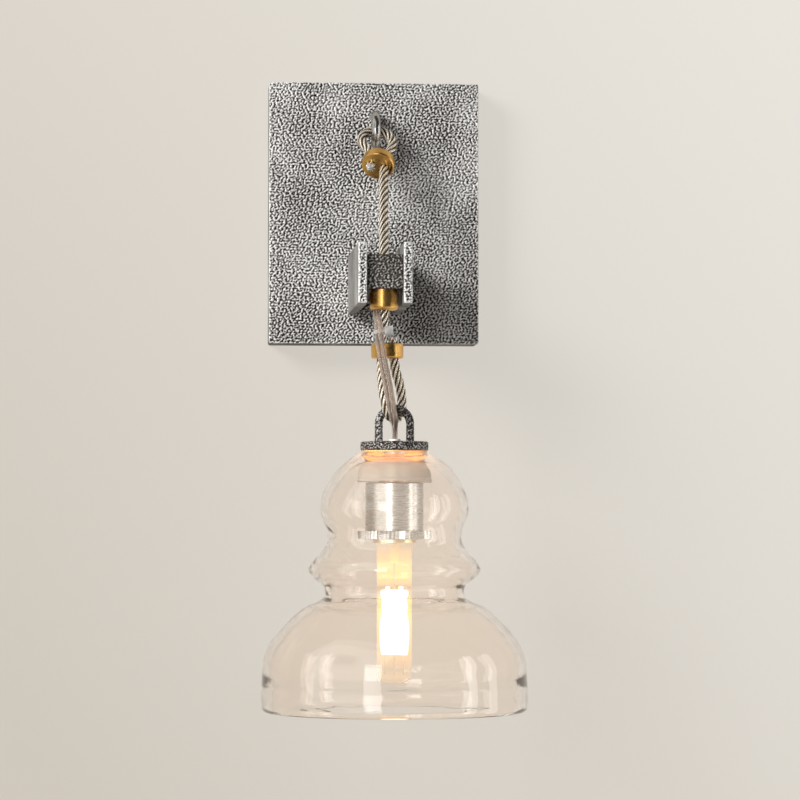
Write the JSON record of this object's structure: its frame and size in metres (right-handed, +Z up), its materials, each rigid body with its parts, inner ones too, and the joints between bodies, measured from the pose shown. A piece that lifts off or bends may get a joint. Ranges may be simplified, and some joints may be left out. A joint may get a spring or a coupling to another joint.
{
  "type": "wall sconce",
  "caption": "Wall light with a glass bell shade hung by a looped steel rope from a short arm on a hammered rectangular back plate.",
  "frame": {"origin": "middle of the back plate on the wall plane, between the two slots of the crossbar", "axes": "+Z up, +Y into the wall, so the front faces -Y; the wall is the plane y = 0"},
  "size_m": [0.1608, 0.1894, 0.393],
  "materials": {
    "hammered_plate": "old silver finish, hammered, black in the hollows, rubbed bright on the high spots",
    "hammered_steel": "dark hammered steel with bright worn edges",
    "bright_steel": "plain steel",
    "zinc_steel": "zinc plated, fine satin",
    "rope_steel": "stranded wire rope, champagne coloured with brown in the grooves",
    "ferrule_brass": "amber brass, smooth and worn",
    "contact_brass": "plain brass",
    "clear_lead": "clear flexible sheath over copper cores",
    "copper_core": "copper strands",
    "clear_tie": "clear nylon",
    "white_plastic": "smooth white",
    "connector_plastic": "moulded, ribbed",
    "amber_gasket": "soft translucent amber",
    "shade_glass": "thick clear pressed glass with a faint warm tint and slight ripple",
    "frosted_plastic": "frosted white, translucent",
    "spun_aluminium": "spun, fine brushed rings",
    "ceramic": "white glazed ceramic",
    "bulb_glass": "thin clear glass",
    "bulb_metal": "rolled thread cap",
    "filament_glow": "glowing warm white",
    "filament_wire": "thin wire"
  },
  "bodies": {
    "wall_frame": {"backplate": "hammered_plate", "crossbar": "zinc_steel", "side_grub_screws": "bright_steel", "ground_screw": "contact_brass", "wire_connectors": "connector_plastic", "lead_tails": "copper_core", "arm_left_cheek": "hammered_steel", "arm_right_cheek": "hammered_steel", "arm_block": "hammered_steel", "arm_backing_plate": "zinc_steel", "arm_screws": "zinc_steel", "eye_staple": "bright_steel", "eye_washers": "zinc_steel", "eye_nuts": "zinc_steel", "upper_ferrule": "ferrule_brass", "steel_rope_upper": "rope_steel", "outlet_bushing": "ferrule_brass", "lead_in_arm": "clear_lead"},
    "lower_rope": {"steel_rope_lower": "rope_steel", "lower_ferrule": "ferrule_brass", "cable_tie": "clear_tie", "lead_upper": "clear_lead"},
    "shade": {"shackle": "hammered_steel", "cap": "hammered_steel", "lead_grommet": "white_plastic", "shade_gasket": "amber_gasket", "glass_shade": "shade_glass", "frosted_collar": "frosted_plastic", "spacer_tube": "zinc_steel", "nipple": "zinc_steel", "nipple_nut": "zinc_steel", "socket_cup": "spun_aluminium", "socket_body": "ceramic", "screw_shell": "contact_brass", "centre_contact": "contact_brass", "terminal_screws": "contact_brass", "retaining_ring": "spun_aluminium", "lead_lower": "clear_lead", "lead_in_shade": "clear_lead"},
    "bulb": {"bulb_glass": "bulb_glass", "bulb_cap": "bulb_metal", "bulb_insulator": "ceramic", "bulb_stem": "bulb_glass", "filaments": "filament_glow", "filament_wires": "filament_wire"}
  },
  "joints": [
    {"name": "rope_sway", "type": "hinge", "parent": "wall_frame", "child": "lower_rope", "pos_m": [0, -0.109, -0.062], "axis": [0, 1, 0], "range_deg": [-12, 12], "stiffness_Nm_per_rad": 1, "springref_deg": -3.21, "deforming": ["lead_upper"]},
    {"name": "shade_swing", "type": "hinge", "parent": "lower_rope", "child": "shade", "pos_m": [0.0063, -0.109, -0.127], "axis": [1, 0, 0], "range_deg": [-18, 8], "deforming": ["lead_lower"]},
    {"name": "bulb_turn", "type": "hinge", "parent": "shade", "child": "bulb", "pos_m": [0.0063, -0.109, -0.2], "axis": [0, 0, 1], "continuous": true}
  ]
}
